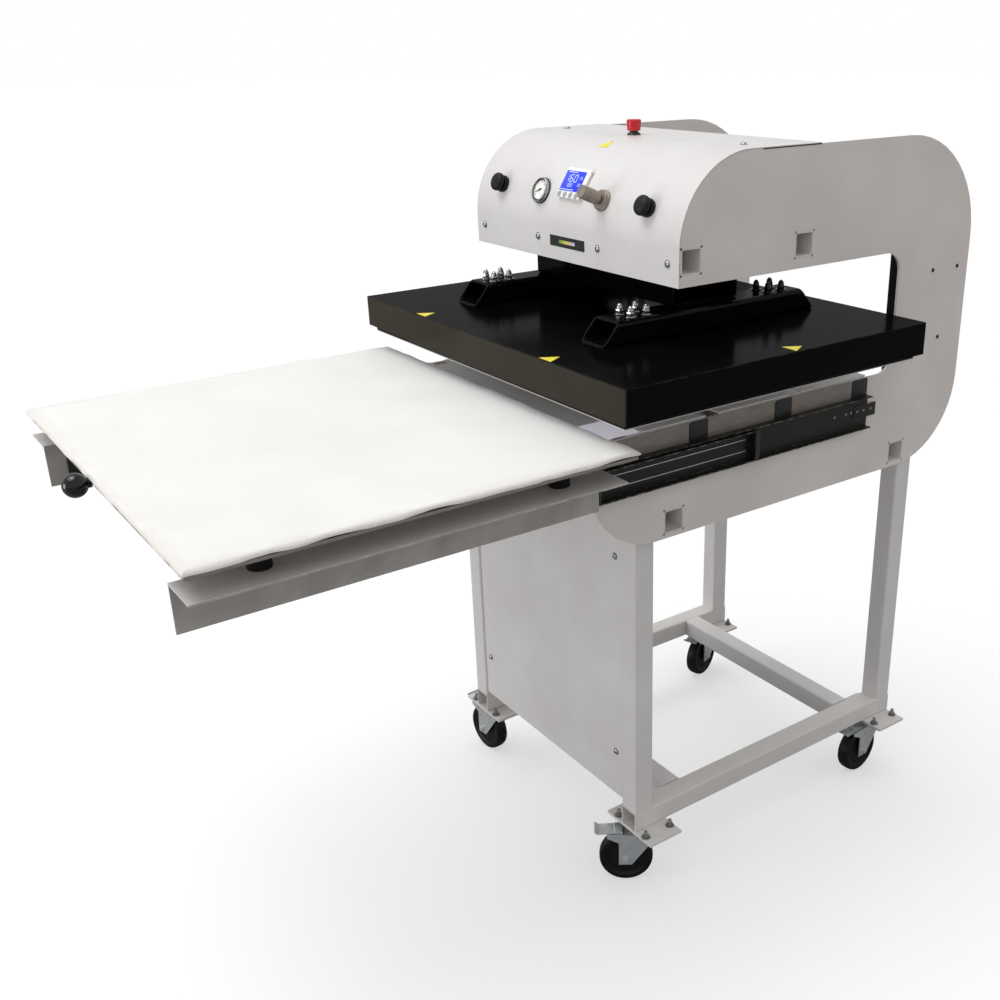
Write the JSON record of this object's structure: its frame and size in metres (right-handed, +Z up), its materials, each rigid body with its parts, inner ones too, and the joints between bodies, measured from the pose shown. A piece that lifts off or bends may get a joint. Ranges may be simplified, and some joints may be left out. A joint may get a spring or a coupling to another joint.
{
  "type": "pneumatic heat press",
  "caption": "Floor-standing pneumatic heat press: heated platen between C-shaped side plates, pull-out padded table on telescopic slides, control panel, steel stand on braked casters.",
  "frame": {"origin": "middle of the footprint's bounding box on the floor, with the table pulled out", "axes": "+Z up, the operator and the pull-out table on the -Y side, +X to the right as seen facing the press from behind the table's front edge looking along +Y"},
  "size_m": [1.011, 1.938, 1.6605],
  "materials": {
    "white_paint": "satin white powder coat with a fine orange peel",
    "black_paint": "satin black powder coat",
    "slide_steel": "dull zinc-plated cold-rolled steel",
    "zinc_steel": "bright zinc plate with a slight blue cast",
    "bright_steel": "ground and hard-chromed rod",
    "heater_aluminium": "milled aluminium",
    "insulation_board": "pressed mineral fibre board",
    "silicone_pad": "light grey silicone sponge",
    "black_plastic": "black moulded plastic",
    "wheel_plastic": "black polyamide wheel",
    "red_plastic": "red moulded plastic",
    "white_plastic": "off-white moulded plastic",
    "gauge_chrome": "polished chrome bezel",
    "regulator_metal": "brown-grey metallic lacquer"
  },
  "bodies": {
    "frame": {"side_plate_left": "white_paint", "side_plate_right": "white_paint", "upper_tube_front": "white_paint", "upper_tube_rear": "white_paint", "lower_tube_front": "white_paint", "lower_tube_rear": "white_paint", "bed_frame": "white_paint", "top_cover": "white_paint", "head_bridge": "black_paint", "air_cylinder": "zinc_steel", "electrics_box": "white_paint", "cable_duct": "black_plastic", "controller": "white_plastic", "pressure_gauge": "gauge_chrome", "regulator_body": "regulator_metal", "estop_base": "black_plastic", "palm_collar_left": "black_plastic", "palm_collar_right": "black_plastic", "slide_outer_left": "slide_steel", "slide_outer_right": "slide_steel", "front_panel": "white_paint", "leg_front_left": "white_paint", "leg_front_right": "white_paint", "leg_rear_left": "white_paint", "leg_rear_right": "white_paint", "side_rail_left": "white_paint", "side_rail_right": "white_paint", "rear_cross_rail": "white_paint"},
    "table": {"slide_inner_left": "slide_steel", "slide_inner_right": "slide_steel", "tray_rail_left": "white_paint", "tray_rail_right": "white_paint", "table_plate": "heater_aluminium", "table_pad": "silicone_pad", "pull_knob": "black_plastic"},
    "stage_left": {"slide_middle_left": "slide_steel"},
    "stage_right": {"slide_middle_right": "slide_steel"},
    "head": {"platen_cover": "black_paint", "heater_plate": "heater_aluminium", "insulation": "insulation_board", "lift_arm_left": "black_paint", "lift_arm_right": "black_paint", "crosshead": "black_paint", "cylinder_rod": "bright_steel"},
    "palm_left": {"palm_button_left": "black_plastic"},
    "palm_right": {"palm_button_right": "black_plastic"},
    "stop": {"estop_button": "red_plastic"},
    "pressure_knob": {"regulator_knob": "regulator_metal"},
    "caster_front_left": {"caster_fork_front_left": "zinc_steel"},
    "wheel_front_left": {"caster_wheel_front_left": "wheel_plastic"},
    "brake_front_left": {"brake_pedal_front_left": "zinc_steel"},
    "caster_rear_left": {"caster_fork_rear_left": "zinc_steel"},
    "wheel_rear_left": {"caster_wheel_rear_left": "wheel_plastic"},
    "brake_rear_left": {"brake_pedal_rear_left": "zinc_steel"},
    "caster_rear_right": {"caster_fork_rear_right": "zinc_steel"},
    "wheel_rear_right": {"caster_wheel_rear_right": "wheel_plastic"},
    "brake_rear_right": {"brake_pedal_rear_right": "zinc_steel"},
    "caster_front_right": {"caster_fork_front_right": "zinc_steel"},
    "wheel_front_right": {"caster_wheel_front_right": "wheel_plastic"},
    "brake_front_right": {"brake_pedal_front_right": "zinc_steel"}
  },
  "joints": [
    {"name": "table_slide", "type": "slide", "parent": "frame", "child": "table", "axis": [0, 1, 0], "range_m": [0, 0.77]},
    {"name": "stage_left_slide", "type": "slide", "parent": "frame", "child": "stage_left", "axis": [0, 1, 0], "range_m": [0, 0.367]},
    {"name": "stage_right_slide", "type": "slide", "parent": "frame", "child": "stage_right", "axis": [0, 1, 0], "range_m": [0, 0.367]},
    {"name": "press_stroke", "type": "slide", "parent": "frame", "child": "head", "axis": [0, 0, -1], "range_m": [0, 0.04]},
    {"name": "palm_left_press", "type": "slide", "parent": "frame", "child": "palm_left", "axis": [0, 0.9205, -0.3907], "range_m": [0, 0.004], "stiffness_N_per_m": 1500, "springref_m": -0.002},
    {"name": "palm_right_press", "type": "slide", "parent": "frame", "child": "palm_right", "axis": [0, 0.9205, -0.3907], "range_m": [0, 0.004], "stiffness_N_per_m": 1500, "springref_m": -0.002},
    {"name": "stop_press", "type": "slide", "parent": "frame", "child": "stop", "axis": [0, 0, -1], "range_m": [0, 0.004], "stiffness_N_per_m": 1500, "springref_m": -0.002},
    {"name": "pressure_knob_turn", "type": "hinge", "parent": "frame", "child": "pressure_knob", "pos_m": [0.11, 0.10689, 1.52024], "axis": [0, -0.9205, 0.3907], "continuous": true},
    {"name": "swivel_front_left", "type": "hinge", "parent": "frame", "child": "caster_front_left", "pos_m": [-0.3205, 0.0495, 0.14], "axis": [0, 0, 1], "continuous": true},
    {"name": "roll_front_left", "type": "hinge", "parent": "caster_front_left", "child": "wheel_front_left", "pos_m": [-0.36234, 0.04584, 0.0625], "axis": [0.0872, -0.9962, 0], "continuous": true},
    {"name": "brake_front_left_press", "type": "hinge", "parent": "caster_front_left", "child": "brake_front_left", "pos_m": [-0.38027, 0.04427, 0.1325], "axis": [0.0872, -0.9962, 0], "range_deg": [0, 14]},
    {"name": "swivel_rear_left", "type": "hinge", "parent": "frame", "child": "caster_rear_left", "pos_m": [-0.3205, 0.8125, 0.14], "axis": [0, 0, 1], "continuous": true},
    {"name": "roll_rear_left", "type": "hinge", "parent": "caster_rear_left", "child": "wheel_rear_left", "pos_m": [-0.30752, 0.77256, 0.0625], "axis": [0.9511, 0.309, 0], "continuous": true},
    {"name": "brake_rear_left_press", "type": "hinge", "parent": "caster_rear_left", "child": "brake_rear_left", "pos_m": [-0.30196, 0.75544, 0.1325], "axis": [0.9511, 0.309, 0], "range_deg": [0, 14]},
    {"name": "swivel_rear_right", "type": "hinge", "parent": "frame", "child": "caster_rear_right", "pos_m": [0.3205, 0.8125, 0.14], "axis": [0, 0, 1], "continuous": true},
    {"name": "roll_rear_right", "type": "hinge", "parent": "caster_rear_right", "child": "wheel_rear_right", "pos_m": [0.32416, 0.77066, 0.0625], "axis": [0.9962, 0.0872, 0], "continuous": true},
    {"name": "brake_rear_right_press", "type": "hinge", "parent": "caster_rear_right", "child": "brake_rear_right", "pos_m": [0.32573, 0.75273, 0.1325], "axis": [0.9962, 0.0872, 0], "range_deg": [0, 14]},
    {"name": "swivel_front_right", "type": "hinge", "parent": "frame", "child": "caster_front_right", "pos_m": [0.3205, 0.0495, 0.14], "axis": [0, 0, 1], "continuous": true},
    {"name": "roll_front_right", "type": "hinge", "parent": "caster_front_right", "child": "wheel_front_right", "pos_m": [0.29581, 0.01552, 0.0625], "axis": [0.809, -0.5878, 0], "continuous": true},
    {"name": "brake_front_right_press", "type": "hinge", "parent": "caster_front_right", "child": "brake_front_right", "pos_m": [0.28523, 0.00096, 0.1325], "axis": [0.809, -0.5878, 0], "range_deg": [0, 14]}
  ],
  "couplings": [
    {"joint": "stage_left_slide", "follows": "table_slide", "ratio": 0.4766},
    {"joint": "stage_right_slide", "follows": "table_slide", "ratio": 0.4766}
  ]
}
